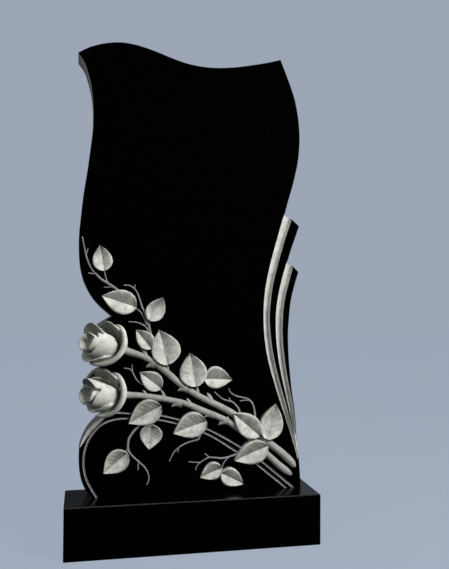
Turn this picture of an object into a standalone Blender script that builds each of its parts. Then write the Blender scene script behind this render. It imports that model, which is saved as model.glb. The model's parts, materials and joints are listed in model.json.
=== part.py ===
"""A carved black granite headstone: a stele with roses at its left edge, standing on a plinth.

Metres, +Z up. The origin is under the middle of the plinth and the polished face looks along -Y.
The carver's drawing below is in millimetres and stretches with the stele's width and height.
"""

import math

import bmesh
import bpy
from mathutils import Matrix, Vector

# Driving sizes, in metres
STELE_WIDTH = 0.552
STELE_HEIGHT = 1.079
STELE_THICKNESS = 0.080
STELE_ARRIS = 0.0015
LEDGE_LEFT = 0.020
LEDGE_RIGHT = 0.028
LEDGE_FRONT = 0.067
LEDGE_BACK = 0.003
PLINTH_HEIGHT = 0.120
PLINTH_ARRIS = 0.002
BED_GAP = 0.0003

# Carving depths, in metres from the polished face
CHANNEL_DEPTH = 0.009
CHANNEL_FLOOR_SHARE = 0.7
CHANNEL_RUNOUT = 5
CUTTER_PROUD = 0.004
LEAF_VALLEY = 0.0015
LEAF_CREST = 0.0085
LEAF_ROLL = 0.0012
LEAF_LIFT = 0.0030
LEAF_DISH = 0.0035
ROOT_DEPTH = 0.004
STEM_RISE = 0.001
TWIG_TIP = 0.0012
TWIG_ROOT = 0.0030
TWIG_TAPER = 0.013
TWIG_SINK = 0.0003
LINE_RISE = 0.0003
THORN_POINT = 0.0008
THORN_RISE = 0.003
THORN_RELIEF = 0.75
ROSE_PROUD = 0.024
ROSE_RELIEF = 0.80

# What follows from them
PLINTH_LENGTH = STELE_WIDTH + LEDGE_LEFT + LEDGE_RIGHT
PLINTH_DEPTH = STELE_THICKNESS + LEDGE_FRONT + LEDGE_BACK
STELE_LEFT = LEDGE_LEFT - PLINTH_LENGTH / 2
STELE_FOOT = PLINTH_HEIGHT + BED_GAP
FACE_Y = LEDGE_FRONT - PLINTH_DEPTH / 2

# The carver's drawing, in millimetres from the lower left corner of the plinth
DRAWN_LEFT = 20
DRAWN_FOOT = 120
DRAWN_WIDTH = 552
DRAWN_HEIGHT = 1079
SCALE_X = STELE_WIDTH / DRAWN_WIDTH
SCALE_Z = STELE_HEIGHT / DRAWN_HEIGHT
CARVING_SCALE = (SCALE_X + SCALE_Z) / 2

# Fineness of the solids
OUTLINE_STEP = 26
SECTION_STEPS = 8
LINE_ROUNDNESS = 0
STEM_ROUNDNESS = 2
TWIG_ROUNDNESS = 0
THORN_SIDES = 5
LEAF_ROWS = 6
LEAF_COLUMNS = (-1.0, -0.5, 0.0, 0.5, 1.0)
PETAL_ROWS = 4
PETAL_COLUMNS = 4
PETAL_COLUMN_SPREAD = 12
CORE_SIDES = 8
CORE_RINGS = 6

# The outline, in runs that meet at corners, from the foot at the left round to the foot at the right
OUTLINE_RUNS = (
    ((62, 120), (46, 143), (36, 170), (32, 200), (32, 231), (36, 246), (43, 262), (52, 277),
     (63, 290), (78, 303), (95, 313)),
    ((95, 313), (74, 330), (54, 348), (44, 368), (46, 390), (62, 410), (80, 420)),
    ((80, 420), (62, 444), (50, 466), (46, 490), (56, 512), (76, 526), (104, 543)),
    ((104, 543), (82, 562), (64, 581), (51, 600), (42, 618), (35, 637), (29, 665), (26.5, 700),
     (26.8, 735), (29.5, 768), (36, 830), (44, 884), (51, 940), (55.5, 980), (57, 1015), (56, 1054),
     (51, 1092), (41, 1129), (33, 1148), (20, 1166)),
    ((20, 1166), (48, 1182), (84, 1194), (122, 1199), (161, 1195), (200, 1185), (239, 1172),
     (278, 1161), (318, 1155.5), (358, 1155.5), (398, 1160), (439, 1168), (480, 1177.5), (517, 1188)),
    ((517, 1188), (538, 1137), (555, 1088), (564.5, 1037), (567.5, 987), (563.6, 936), (553, 885),
     (538.5, 834), (528.5, 797)),
    ((528.5, 797), (545, 789)),
    ((545, 789), (566.5, 770)),
    ((566.5, 770), (554, 734), (545, 709), (535.5, 677)),
    ((535.5, 677), (549, 671)),
    ((549, 671), (565, 655)),
    ((565, 655), (554.5, 620), (545, 580), (540, 530), (538.5, 490), (540.5, 440), (544, 400),
     (548.5, 360), (556, 310), (561, 255), (566, 205), (569.5, 165), (572, 120)),
)

# Each channel between the ribbons: height, left edge and right edge, from its open top down
CHANNELS = (
    ((818, 537, 562), (797, 527, 549), (780, 521.5, 544.5), (740, 510, 531), (700, 498.5, 519),
     (660, 488.5, 508), (620, 480.5, 498.5), (580, 476, 493), (540, 475, 490.5), (500, 477, 493),
     (460, 482.5, 498.5), (420, 491, 507), (380, 503, 517.5), (340, 516, 529.5), (300, 529.5, 541),
     (260, 543, 552), (220, 555.5, 561), (190, 564, 566)),
    ((694, 543, 566), (677, 533.5, 552), (660, 528.5, 548.5), (640, 522.5, 543), (600, 513.5, 532.5),
     (560, 507.5, 526), (520, 506.5, 524), (480, 508.5, 525), (440, 513.5, 529.5), (400, 521, 535.5),
     (360, 530.5, 543.5), (320, 540, 551.5), (280, 549, 557.5), (240, 557.5, 563.5), (196, 565.5, 567)),
)

# The scroll lines, each with its half width beside each point
OUTER_LINE = (
    (30, 238, 3), (35, 247, 5), (43, 262, 7), (52, 277, 8.5), (63, 290, 9), (78, 303, 8), (94, 313, 5),
    (110, 316.5, 2.6), (130, 316.5, 2.4), (153, 314, 2.4), (190, 312, 2.4), (222, 308, 2.4),
    (262, 298, 2.4), (300, 286, 2.4), (333, 273, 2.4), (370, 254, 2.4), (410, 230, 2.4), (440, 211, 2.4),
    (470, 190, 2.6), (500, 165, 2.8), (530, 140, 3), (563, 112, 3),
)
INNER_LINE = (
    (80, 112, 2.6), (67, 132, 2.6), (53, 157, 2.6), (45.5, 180, 2.6), (43, 203, 2.6), (44.5, 226, 2.6),
    (52, 251, 2.6), (65, 272, 2.6), (82, 289, 2.6), (104, 299, 2.6), (130, 303, 2.4), (160, 302, 2.4),
    (190, 300.5, 2.4), (222, 297, 2.4), (262, 287, 2.4), (295, 276, 2.4), (325, 265, 2.4),
    (360, 246, 2.4), (400, 220, 2.4), (430, 202, 2.4), (458, 183, 2.4), (490, 157, 2.6), (515, 137, 2.8),
    (544, 112, 2.8),
)

# Half the width of a leaf at each share of its length, from its base to its tip
LEAF_SHAPE = ((0.0, 0.0), (0.04, 0.36), (0.12, 0.68), (0.25, 0.93), (0.40, 1.0), (0.56, 0.92),
              (0.72, 0.68), (0.86, 0.36), (0.94, 0.14), (1.0, 0.0))

# Each leaf: base, tip, half width at its left and at its right looking to the tip, layer
LEAVES = (
    ((86, 650), (75, 711), 23, 23, 0),
    ((162, 565), (80, 592), 27, 30, 0),
    ((192, 534), (226, 589), 21, 23, 0),
    ((198, 467), (161, 512), 18, 22, 0),
    ((237, 428), (216, 512), 30, 39, 1),
    ((305, 375), (291, 456), 33, 33, 1),
    ((326, 393), (395, 390), 31, 22, 0),
    ((462, 254), (397, 309), 26, 28, 3),
    ((479, 244), (506, 328), 25, 32, 2),
    ((483, 228), (401, 195), 28, 27, 3),
    ((372, 178), (318, 157), 18, 23, 0),
    ((368, 166), (424, 137), 23, 20, 1),
    ((222, 331), (145, 292), 27, 31, 1),
    ((200, 287), (194, 229), 28, 25, 0),
    ((332, 292), (252, 265), 27, 33, 1),
    ((144, 222), (88, 177), 25, 27, 0),
    ((222, 372), (171, 411), 21, 24, 0),
)

# The two rose stems, each with its half width beside each point
STEMS = (
    ((106, 477, 9), (122, 469, 9.5), (136, 463, 9.5), (150, 458, 8.5), (177, 449, 7.5), (204, 434, 7.5),
     (236, 410, 7.5), (270, 380, 7.5), (308, 355, 7.5), (340, 338, 7.5), (378, 319, 8), (408, 300, 8),
     (445, 270, 8), (482, 239, 8.5), (520, 209, 9), (543, 188, 9), (552, 177, 7), (556, 171, 3)),
    ((106, 366, 9), (122, 361, 9.5), (137, 358, 9.5), (152, 357, 8), (182, 355, 7), (228, 347, 7),
     (282, 334, 7), (320, 318, 7), (360, 301, 7.5), (398, 281, 8), (440, 249, 8), (478, 211, 8),
     (512, 180, 8.5), (532, 164, 8.5), (542, 156, 6.5), (546, 152, 3)),
)

# Each thorn: the middle of its root, its point, and the half width of its root
THORNS = (
    ((184, 449), (172, 469), 7), ((206, 430), (186, 423), 11), ((286, 370), (262, 365), 11),
    ((341, 340), (333, 359), 9), ((290, 331), (284, 347), 8), ((271, 335), (247, 328), 11),
    ((351, 305), (328, 302), 9), ((387, 290), (362, 281), 11), ((184, 355), (179, 369), 7),
    ((236, 411), (235, 431), 5), ((309, 355), (307, 377), 5.5), ((229, 350), (219, 371), 5),
)

# The thin twigs, as points along each from its tip
TWIGS = (
    ((34, 731), (38, 712), (43, 688), (49, 670), (57, 655), (67, 643), (79, 631), (92, 623), (106, 614),
     (124, 601)),
    ((86, 654), (89, 637), (95, 622)),
    ((48, 703), (43, 688)),
    ((49, 645), (67, 643)),
    ((86, 612), (107, 613)),
    ((132, 617), (144, 617), (155, 611), (164, 599), (170, 583), (175, 567), (182, 552), (187, 536),
     (192, 520), (197, 500)),
    ((158, 619), (157, 610)),
    ((160, 563), (171, 555), (179, 542), (186, 524)),
    ((144, 531), (160, 530), (173, 526), (184, 519), (192, 508)),
    ((193, 537), (194, 515)),
    ((134, 421), (147, 419), (154, 412), (160, 400), (168, 389), (180, 381)),
    ((153, 429), (154, 412)),
    ((387, 369), (393, 358), (405, 350), (420, 346), (433, 343), (444, 335), (450, 324), (453, 310),
     (454, 296)),
    ((416, 337), (433, 339), (443, 336)),
    ((352, 361), (363, 351), (373, 343), (387, 338), (397, 335), (406, 327), (413, 318), (417, 304)),
    ((388, 346), (394, 336)),
    ((243, 198), (247, 205), (251, 214), (258, 223), (269, 232), (283, 239), (298, 244), (313, 248),
     (318, 262)),
    ((263, 219), (266, 229)),
    ((190, 145), (194, 154), (195, 164), (191, 176), (184, 187), (174, 197), (164, 206), (153, 217),
     (146, 228), (145, 240), (147, 254), (153, 265), (162, 276), (176, 288)),
    ((169, 181), (170, 200)),
    ((137, 224), (146, 231)),
    ((307, 174), (309, 182), (316, 190), (326, 197), (339, 203), (354, 202), (369, 200), (387, 202),
     (400, 206), (412, 208)),
    ((290, 195), (303, 193), (318, 192)),
    ((329, 213), (340, 204)),
    ((370, 172), (374, 184), (380, 194), (391, 203)),
)

# Each petal: direction round the rose's axis in degrees, from the front over the top, half its spread,
# the fall of its rim at the sides, its section as (along the axis, away from the axis) in mm, and for
# the cup at the foot its own thickness, narrowness at the root and lean towards the front
UPPER_ROSE = (
    (20, 120, 0.05, ((-36, 6), (-42, 28), (-38, 44), (-26, 54)), 6.5, 1.0, 0.0),
    (-88, 62, 0.16, ((-36, 6), (-38, 28), (-28, 42), (0, 49))),
    (122, 66, 0.16, ((-36, 6), (-34, 28), (-18, 46), (8, 57))),
    (170, 56, 0.20, ((-30, 6), (-28, 28), (0, 42), (34, 42))),
    (-108, 54, 0.22, ((-28, 6), (-26, 24), (0, 38), (38, 46))),
    (-60, 84, 0.30, ((-26, 6), (-24, 24), (0, 34), (42, 36))),
    (34, 66, 0.10, ((-26, 6), (-23, 20), (2, 27), (30, 23))),
    (112, 56, 0.24, ((-20, 6), (-10, 22), (20, 32), (44, 45))),
    (196, 60, 0.24, ((-14, 5), (0, 22), (26, 28), (50, 30))),
    (-50, 80, 0.14, ((-10, 5), (4, 18), (26, 23), (48, 24))),
    (100, 70, 0.25, ((-10, 5), (4, 14), (26, 16), (46, 20))),
)
LOWER_ROSE = (
    (20, 120, 0.05, ((-36, 6), (-42, 28), (-38, 44), (-26, 54)), 6.5, 1.0, 0.0),
    (-78, 52, 0.16, ((-36, 6), (-38, 28), (-30, 42), (-14, 49))),
    (116, 60, 0.20, ((-36, 6), (-32, 28), (-16, 47), (10, 61))),
    (165, 56, 0.20, ((-30, 6), (-28, 28), (0, 42), (34, 44))),
    (-96, 64, 0.12, ((-28, 6), (-26, 24), (-4, 37), (26, 42))),
    (-36, 80, 0.30, ((-26, 6), (-24, 24), (0, 31), (40, 30))),
    (46, 66, 0.10, ((-26, 6), (-23, 20), (2, 25), (28, 21))),
    (88, 62, 0.16, ((-20, 6), (-8, 23), (20, 31), (52, 36))),
    (196, 60, 0.24, ((-14, 5), (0, 22), (26, 28), (48, 30))),
    (-50, 80, 0.14, ((-10, 5), (4, 16), (26, 20), (46, 21))),
    (100, 70, 0.25, ((-10, 5), (4, 14), (26, 16), (44, 18))),
)
PETAL_THICKNESS = 6.5
PETAL_NARROW = 0.62

# Each rose: its middle in the drawing, how far its axis rises to the left, its petals
ROSES = (
    ((86, 478), 14, UPPER_ROSE),
    ((86, 362), 8, LOWER_ROSE),
)
ROSE_TURN = 30
CORE_ALONG = 33
CORE_ACROSS = 22
CORE_SHIFT = 2


def clear_scene():
    """Removes what a new file starts with."""
    for item in list(bpy.data.objects):
        bpy.data.objects.remove(item, do_unlink=True)


def new_collection(name):
    """Makes a collection in the scene."""
    collection = bpy.data.collections.new(name)
    bpy.context.scene.collection.children.link(collection)
    return collection


def granite(name, colour, roughness):
    """Makes a stone material."""
    material = bpy.data.materials.new(name)
    material.use_nodes = True
    shader = material.node_tree.nodes["Principled BSDF"]
    shader.inputs["Base Color"].default_value = (*colour, 1)
    shader.inputs["Roughness"].default_value = roughness
    shader.inputs["Metallic"].default_value = 0
    return material


def place(x, z, proud=0.0):
    """Takes a point of the drawing to the stele's face, or to a distance in front of it."""
    across = STELE_LEFT + (x - DRAWN_LEFT) * SCALE_X
    up = STELE_FOOT + (z - DRAWN_FOOT) * SCALE_Z
    return Vector((across, FACE_Y - proud, up))


def smooth(points, steps):
    """Gives a smooth run through points of any number of coordinates, with steps to each span."""
    ends = [points[0], *points, points[-1]]
    run = []
    for k in range(len(points) - 1):
        before, start, end, after = ends[k:k + 4]
        for step in range(steps):
            t = step / steps
            run.append(tuple(
                0.5 * (2 * b + (c - a) * t + (2 * a - 5 * b + 4 * c - d) * t ** 2
                       + (3 * b - a - 3 * c + d) * t ** 3)
                for a, b, c, d in zip(before, start, end, after)))
    run.append(tuple(points[-1]))
    return run


def add_object(name, mesh, collection):
    """Puts a mesh in a collection as an object."""
    item = bpy.data.objects.new(name, mesh)
    collection.objects.link(item)
    return item


def mesh_from(name, vertices, faces):
    """Makes a closed mesh with its faces pointing out."""
    mesh = bpy.data.meshes.new(name)
    mesh.from_pydata([tuple(v) for v in vertices], [], faces)
    work = bmesh.new()
    work.from_mesh(mesh)
    bmesh.ops.triangulate(work, faces=work.faces)
    bmesh.ops.recalc_face_normals(work, faces=work.faces)
    work.to_mesh(mesh)
    work.free()
    return mesh


def curve_to_object(name, curve, collection):
    """Turns a curve into a welded mesh object."""
    maker = bpy.data.objects.new(name + "_curve", curve)
    bpy.context.scene.collection.objects.link(maker)
    seen = maker.evaluated_get(bpy.context.evaluated_depsgraph_get())
    mesh = bpy.data.meshes.new_from_object(seen)
    work = bmesh.new()
    work.from_mesh(mesh)
    bmesh.ops.remove_doubles(work, verts=work.verts, dist=1e-6)
    bmesh.ops.triangulate(work, faces=work.faces)
    bmesh.ops.recalc_face_normals(work, faces=work.faces)
    work.to_mesh(mesh)
    work.free()
    item = add_object(name, mesh, collection)
    item.matrix_world = maker.matrix_world
    bpy.data.objects.remove(maker, do_unlink=True)
    return item


def slab(name, collection):
    """The flat slab: the outline, filled and given its thickness, with eased arrises."""
    outline = []
    for run in OUTLINE_RUNS:
        spans = [math.dist(start, end) for start, end in zip(run, run[1:])]
        steps = max(1, round(sum(spans) / len(spans) / OUTLINE_STEP)) if len(run) > 2 else 1
        outline.extend(smooth(run, steps)[:-1])
    outline.append(OUTLINE_RUNS[-1][-1])
    curve = bpy.data.curves.new(name, "CURVE")
    curve.dimensions = "2D"
    curve.fill_mode = "BOTH"
    curve.extrude = STELE_THICKNESS / 2
    spline = curve.splines.new("POLY")
    spline.points.add(len(outline) - 1)
    spline.use_cyclic_u = True
    for point, (x, z) in zip(spline.points, outline):
        spot = place(x, z)
        point.co = (spot.x, spot.z, 0, 1)
    item = curve_to_object(name, curve, collection)
    middle = FACE_Y + STELE_THICKNESS / 2
    item.data.transform(Matrix.Translation((0, middle, 0)) @ Matrix.Rotation(math.pi / 2, 4, "X"))
    easing = item.modifiers.new("arrises", "BEVEL")
    easing.width = STELE_ARRIS
    easing.segments = 1
    easing.limit_method = "ANGLE"
    easing.angle_limit = math.radians(50)
    return item


def channel(name, stations, collection):
    """The space of one channel: a loft with sloping sides whose floor runs out to nothing at its foot."""
    vertices = []
    count = len(stations)
    for k, (z, left, right) in enumerate(stations):
        depth = CHANNEL_DEPTH * min(1.0, (count - k) / CHANNEL_RUNOUT)
        inset = (right - left) * (1 - CHANNEL_FLOOR_SHARE) / 2
        outset = inset * CUTTER_PROUD / depth
        vertices.append(place(left - outset, z, CUTTER_PROUD))
        vertices.append(place(left + inset, z, -depth))
        vertices.append(place(right - inset, z, -depth))
        vertices.append(place(right + outset, z, CUTTER_PROUD))
    faces = []
    ring = 4
    for k in range(count - 1):
        for side in range(ring):
            after = (side + 1) % ring
            low = k * ring
            high = low + ring
            faces.append((low + side, low + after, high + after, high + side))
    faces.append(tuple(range(ring)))
    faces.append(tuple(range((count - 1) * ring, count * ring)))
    return add_object(name, mesh_from(name, vertices, faces), collection)


def rod(name, points, proud, roundness, collection):
    """A round run through drawing points that each carry their half width, as a mesh object."""
    curve = bpy.data.curves.new(name, "CURVE")
    curve.dimensions = "3D"
    curve.fill_mode = "FULL"
    curve.bevel_depth = CARVING_SCALE
    curve.bevel_resolution = round(roundness)
    curve.use_fill_caps = True
    spline = curve.splines.new("POLY")
    spline.points.add(len(points) - 1)
    for point, (x, z, half) in zip(spline.points, points):
        point.co = (*place(x, z, proud), 1)
        point.radius = half
    return curve_to_object(name, curve, collection)


def twig_run(points):
    """The points of a twig, each with its half width, which grows with the way from the tip."""
    run = []
    way = 0.0
    for k, (x, z) in enumerate(points):
        way += math.dist(points[k - 1], (x, z)) if k else 0.0
        half = min(TWIG_ROOT, TWIG_TIP + TWIG_TAPER * way * CARVING_SCALE)
        run.append((x, z, half / CARVING_SCALE))
    return run


def leaf_width(share):
    """Half the width of a leaf, as a share of its widest, at a share of its length."""
    for (low, narrow), (high, wide) in zip(LEAF_SHAPE, LEAF_SHAPE[1:]):
        if share <= high:
            return narrow + (wide - narrow) * (share - low) / (high - low)
    return 0.0


def leaf_height(share, side, layer):
    """How far a leaf stands proud: folded along its midrib, each half rising to a rolled margin."""
    out = abs(side)
    crest = LEAF_CREST - (LEAF_CREST - LEAF_VALLEY) * 0.45 * share ** 3
    height = LEAF_VALLEY + (crest - LEAF_VALLEY) * (1 - (1 - out) ** 1.7)
    if out == 1:
        height -= LEAF_ROLL
    return height + LEAF_DISH * (2 * share - 1) ** 2 + layer * LEAF_LIFT * (1 - 0.4 * share ** 2)


def leaf(name, base, tip, left, right, layer, collection):
    """One leaf as a closed solid whose root lies below the polished face."""
    along = Vector(tip) - Vector(base)
    across = Vector((along.y, -along.x)).normalized()
    rows = [[place(*base, leaf_height(0, 0, layer))]]
    for row in range(1, LEAF_ROWS):
        share = row / LEAF_ROWS
        middle = Vector(base) + along * share
        width = leaf_width(share)
        line = []
        for side in LEAF_COLUMNS:
            reach = side * width * (right if side > 0 else left)
            spot = middle + across * reach
            line.append(place(spot.x, spot.y, leaf_height(share, side, layer)))
        rows.append(line)
    rows.append([place(*tip, leaf_height(1, 0, layer))])
    vertices = [spot for line in rows for spot in line]
    columns = len(LEAF_COLUMNS)
    last = len(vertices) - 1
    faces = []
    for column in range(columns - 1):
        faces.append((0, 1 + column, 2 + column))
        faces.append((last, last - columns + column, last - columns + column + 1))
        for row in range(LEAF_ROWS - 2):
            corner = 1 + row * columns + column
            faces.append((corner, corner + 1, corner + columns + 1))
            faces.append((corner, corner + columns + 1, corner + columns))
    rim = [0]
    rim += [1 + row * columns + columns - 1 for row in range(LEAF_ROWS - 1)]
    rim.append(last)
    rim += [1 + row * columns for row in reversed(range(LEAF_ROWS - 1))]
    first = len(vertices)
    for index in rim:
        spot = vertices[index]
        vertices.append(Vector((spot.x, FACE_Y + ROOT_DEPTH, spot.z)))
    for k, index in enumerate(rim):
        after = (k + 1) % len(rim)
        faces.append((index, rim[after], first + after, first + k))
    faces.append(tuple(range(first, first + len(rim))))
    return add_object(name, mesh_from(name, vertices, faces), collection)


def thorn(name, root, point, half, collection):
    """A thorn: a cone lying along the face from a stem to its point."""
    start = place(*root, THORN_RISE)
    end = place(*point, THORN_RISE)
    work = bmesh.new()
    length = (end - start).length
    bmesh.ops.create_cone(work, cap_ends=True, segments=round(THORN_SIDES), radius1=half * CARVING_SCALE,
                          radius2=THORN_POINT, depth=length)
    turn = (end - start).to_track_quat("Z", "Y").to_matrix().to_4x4()
    bmesh.ops.transform(work, matrix=Matrix.Translation((start + end) / 2) @ turn, verts=work.verts)
    for vertex in work.verts:
        vertex.co.y = FACE_Y + (vertex.co.y - FACE_Y) * THORN_RELIEF
    mesh = bpy.data.meshes.new(name)
    work.to_mesh(mesh)
    work.free()
    return add_object(name, mesh, collection)


def rose_axes(rise):
    """The rose's axis towards its heart, with the directions to its front and over its top."""
    turn = math.radians(ROSE_TURN)
    rise = math.radians(rise)
    level = math.cos(rise)
    axis = Vector((-math.cos(turn) * level, -math.sin(turn) * level, math.sin(rise)))
    top = (Vector((0, 0, 1)) - axis * axis.z).normalized()
    front = top.cross(axis)
    return axis, front, top


def carve(middle, spot):
    """Takes a point of a rose, in mm from its middle, to its place in the flattened relief."""
    return place(*middle, ROSE_PROUD) + CARVING_SCALE * Vector((spot.x, spot.y * ROSE_RELIEF, spot.z))


def section_point(section, share):
    """A point of a petal's section, with the direction across it."""
    run = smooth(section, SECTION_STEPS)
    spot = share * (len(run) - 1)
    low = min(int(spot), len(run) - 2)
    part = spot - low
    along, away = (run[low][k] + (run[low + 1][k] - run[low][k]) * part for k in range(2))
    step_along, step_away = (run[low + 1][k] - run[low][k] for k in range(2))
    size = math.hypot(step_along, step_away)
    return along, away, -step_away / size, step_along / size


def petal(name, middle, axes, collection, turn, spread, fall, section,
          thickness=PETAL_THICKNESS, narrow=PETAL_NARROW, lean=0.0):
    """One petal as a closed shell, thick at its root and thinner at its rim."""
    axis, front, top = axes
    columns = max(PETAL_COLUMNS, round(spread / PETAL_COLUMN_SPREAD))
    outer = []
    inner = []
    for row in range(PETAL_ROWS + 1):
        share = row / PETAL_ROWS
        spreading = narrow + (1 - narrow) * math.sin(math.pi / 2 * min(1, 1.5 * share))
        for column in range(columns + 1):
            side = 2 * column / columns - 1
            reach = share * (1 - fall * abs(side) ** 2.4)
            along, away, out_along, out_away = section_point(section, reach)
            angle = math.radians(turn + side * spread * spreading)
            wall = thickness * (1 - 0.5 * share ** 3) * (1 - 0.45 * side ** 4)
            ray = front * math.cos(angle) + top * math.sin(angle)
            leaning = 1 + lean * math.cos(angle) * share
            for spots, offset in ((outer, 0), (inner, wall)):
                distance = (away - offset * out_away) * leaning
                spots.append(carve(middle, axis * (along - offset * out_along) + ray * distance))
    ring = columns + 1
    size = len(outer)
    faces = []
    for row in range(PETAL_ROWS):
        for column in range(columns):
            corner = row * ring + column
            patch = (corner, corner + 1, corner + ring + 1, corner + ring)
            faces.append(patch)
            faces.append(tuple(size + index for index in reversed(patch)))
    edge = list(range(ring))
    edge += [row * ring + columns for row in range(1, PETAL_ROWS + 1)]
    edge += list(reversed(range(PETAL_ROWS * ring, PETAL_ROWS * ring + columns)))
    edge += [row * ring for row in reversed(range(1, PETAL_ROWS))]
    for first, second in zip(edge, edge[1:] + edge[:1]):
        faces.append((first, second, size + second, size + first))
    return add_object(name, mesh_from(name, outer + inner, faces), collection)


def rose(name, middle, rise, petals, collection):
    """One rose head: overlapping petals about a full core."""
    axes = rose_axes(rise)
    axis, front, top = axes
    work = bmesh.new()
    bmesh.ops.create_uvsphere(work, u_segments=round(CORE_SIDES),
                              v_segments=round(CORE_RINGS), radius=1)
    for vertex in work.verts:
        ball = vertex.co.copy()
        spot = axis * (ball.z * CORE_ALONG + CORE_SHIFT)
        vertex.co = carve(middle, spot + (front * ball.x + top * ball.y) * CORE_ACROSS)
    bmesh.ops.recalc_face_normals(work, faces=work.faces)
    mesh = bpy.data.meshes.new(f"{name}_core")
    work.to_mesh(mesh)
    work.free()
    add_object(f"{name}_core", mesh, collection)
    for k, values in enumerate(petals, 1):
        petal(f"{name}_petal_{k}", middle, axes, collection, *values)


def fill_pockets(item):
    """Applies an object's modifiers and fills any hollow that the joined solids seal in."""
    seen = item.evaluated_get(bpy.context.evaluated_depsgraph_get())
    mesh = bpy.data.meshes.new_from_object(seen)
    item.modifiers.clear()
    item.data = mesh
    work = bmesh.new()
    work.from_mesh(mesh)
    waiting = set(work.verts)
    while waiting:
        island = [waiting.pop()]
        for vertex in island:
            for edge in vertex.link_edges:
                other = edge.other_vert(vertex)
                if other in waiting:
                    waiting.remove(other)
                    island.append(other)
        faces = {face for vertex in island for face in vertex.link_faces}
        volume = 0.0
        for face in faces:
            first, *rest = (vertex.co for vertex in face.verts)
            volume += sum(first.dot(a.cross(b)) for a, b in zip(rest, rest[1:]))
        if volume <= 0:
            bmesh.ops.delete(work, geom=island, context="VERTS")
    work.to_mesh(mesh)
    work.free()


def hide_helpers(collection):
    """Keeps cutters and the solids that a Boolean joins out of what is built."""
    for item in collection.objects:
        item.hide_render = True
        item.display_type = "WIRE"


def join_all(item, collection, operation):
    """Cuts a whole collection of solids from an object, or joins them to it."""
    step = item.modifiers.new(operation.lower(), "BOOLEAN")
    step.operation = operation
    step.operand_type = "COLLECTION"
    step.collection = collection
    step.solver = "EXACT"


def make_stele(home):
    """The stele: the slab, less its channels and scroll lines, with the carving that stands proud."""
    grooves = new_collection("stele_grooves")
    carving = new_collection("stele_carving")
    stele = slab("stele", home)
    for k, stations in enumerate(CHANNELS, 1):
        channel(f"channel_{k}", stations, grooves)
    for k, line in enumerate((OUTER_LINE, INNER_LINE), 1):
        rod(f"scroll_line_{k}", line, LINE_RISE, LINE_ROUNDNESS, grooves)
    for k, (base, tip, left, right, layer) in enumerate(LEAVES, 1):
        leaf(f"leaf_{k}", base, tip, left, right, layer, carving)
    for k, points in enumerate(STEMS, 1):
        rod(f"stem_{k}", points, STEM_RISE, STEM_ROUNDNESS, carving)
    for k, (root, point, half) in enumerate(THORNS, 1):
        thorn(f"thorn_{k}", root, point, half, carving)
    for k, points in enumerate(TWIGS, 1):
        rod(f"twig_{k}", twig_run(points), -TWIG_SINK, TWIG_ROUNDNESS, carving)
    for k, (middle, rise, petals) in enumerate(ROSES, 1):
        rose(f"rose_{k}", middle, rise, petals, carving)
    join_all(stele, grooves, "DIFFERENCE")
    join_all(stele, carving, "UNION")
    hide_helpers(grooves)
    hide_helpers(carving)
    fill_pockets(stele)
    stele.data.materials.clear()
    stele.data.materials.append(granite("carved_black_granite", (0.012, 0.012, 0.014), 0.12))
    return stele


def make_plinth(home):
    """The plinth: a polished block with eased arrises."""
    bpy.ops.mesh.primitive_cube_add(size=1)
    plinth = bpy.context.object
    plinth.name = "plinth"
    plinth.data.name = "plinth"
    plinth.data.transform(Matrix.Diagonal((PLINTH_LENGTH, PLINTH_DEPTH, PLINTH_HEIGHT, 1)))
    plinth.location = (0, 0, PLINTH_HEIGHT / 2)
    easing = plinth.modifiers.new("arrises", "BEVEL")
    easing.width = PLINTH_ARRIS
    easing.segments = 1
    easing.limit_method = "ANGLE"
    plinth.data.materials.append(granite("polished_black_granite", (0.010, 0.010, 0.012), 0.08))
    for collection in list(plinth.users_collection):
        collection.objects.unlink(plinth)
    home.objects.link(plinth)
    return plinth


def main():
    clear_scene()
    home = new_collection("headstone")
    make_plinth(home)
    make_stele(home)


main()
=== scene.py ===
import json
import math

import bmesh
import bpy
from mathutils import Matrix, Vector

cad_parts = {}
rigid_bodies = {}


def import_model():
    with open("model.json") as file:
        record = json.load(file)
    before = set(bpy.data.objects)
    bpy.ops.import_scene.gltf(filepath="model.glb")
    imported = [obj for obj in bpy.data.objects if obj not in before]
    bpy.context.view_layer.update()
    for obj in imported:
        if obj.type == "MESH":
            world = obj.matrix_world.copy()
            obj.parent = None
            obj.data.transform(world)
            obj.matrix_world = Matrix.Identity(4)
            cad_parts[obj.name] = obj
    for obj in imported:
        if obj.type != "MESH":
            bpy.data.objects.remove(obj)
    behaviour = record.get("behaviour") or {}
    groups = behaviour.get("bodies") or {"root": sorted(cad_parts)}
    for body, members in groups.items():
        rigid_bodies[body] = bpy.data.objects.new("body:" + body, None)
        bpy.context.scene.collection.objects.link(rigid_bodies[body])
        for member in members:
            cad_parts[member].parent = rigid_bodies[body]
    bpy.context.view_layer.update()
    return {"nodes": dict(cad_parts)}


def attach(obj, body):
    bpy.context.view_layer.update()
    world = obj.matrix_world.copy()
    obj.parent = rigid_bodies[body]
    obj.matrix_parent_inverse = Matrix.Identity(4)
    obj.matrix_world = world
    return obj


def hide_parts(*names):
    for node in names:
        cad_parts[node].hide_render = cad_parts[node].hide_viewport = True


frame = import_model()

# Sizes in metres, the same as the solids have
STELE_THICKNESS = 0.080
STELE_ARRIS = 0.0015
STELE_LEFT = -0.280
STELE_FOOT = 0.1203
FACE_Y = -0.008
MIDDLE_Y = FACE_Y + STELE_THICKNESS / 2
BACK_Y = FACE_Y + STELE_THICKNESS

# The carver's drawing is in millimetres from the lower left corner of the plinth
DRAWN_LEFT = 20
DRAWN_FOOT = 120
MM = 0.001

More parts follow.
